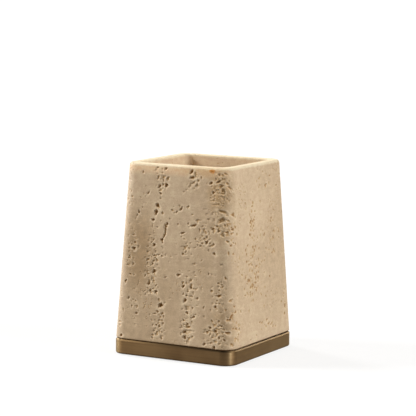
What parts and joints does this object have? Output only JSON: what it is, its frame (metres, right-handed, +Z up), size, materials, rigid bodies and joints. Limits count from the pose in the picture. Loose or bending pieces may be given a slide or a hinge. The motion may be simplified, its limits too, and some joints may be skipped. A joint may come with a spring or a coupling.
{
  "type": "pen stand",
  "caption": "Square tapered pen stand: a pitted travertine cup with a deep pocket, bedded on a flush brushed bronze base and bolted from below.",
  "frame": {"origin": "middle of the footprint, on the desk that the feet stand on", "axes": "+Z up, X and Y square to the stand's side faces"},
  "size_m": [0.0854, 0.0854, 0.1206],
  "materials": {
    "travertine": "honed, unfilled travertine with open pits",
    "bronze": "satin brushed antique bronze",
    "gasket": "matte dark brown sheet",
    "insert_brass": "turned brass",
    "screw_steel": "zinc plated",
    "foot_rubber": "matte moulded rubber"
  },
  "bodies": {
    "root": {"stone_cup": "travertine", "bronze_base": "bronze", "bedding_gasket": "gasket", "threaded_inserts": "insert_brass", "base_screws": "screw_steel", "foot_front_left": "foot_rubber", "foot_front_right": "foot_rubber", "foot_back_left": "foot_rubber", "foot_back_right": "foot_rubber"}
  },
  "joints": []
}
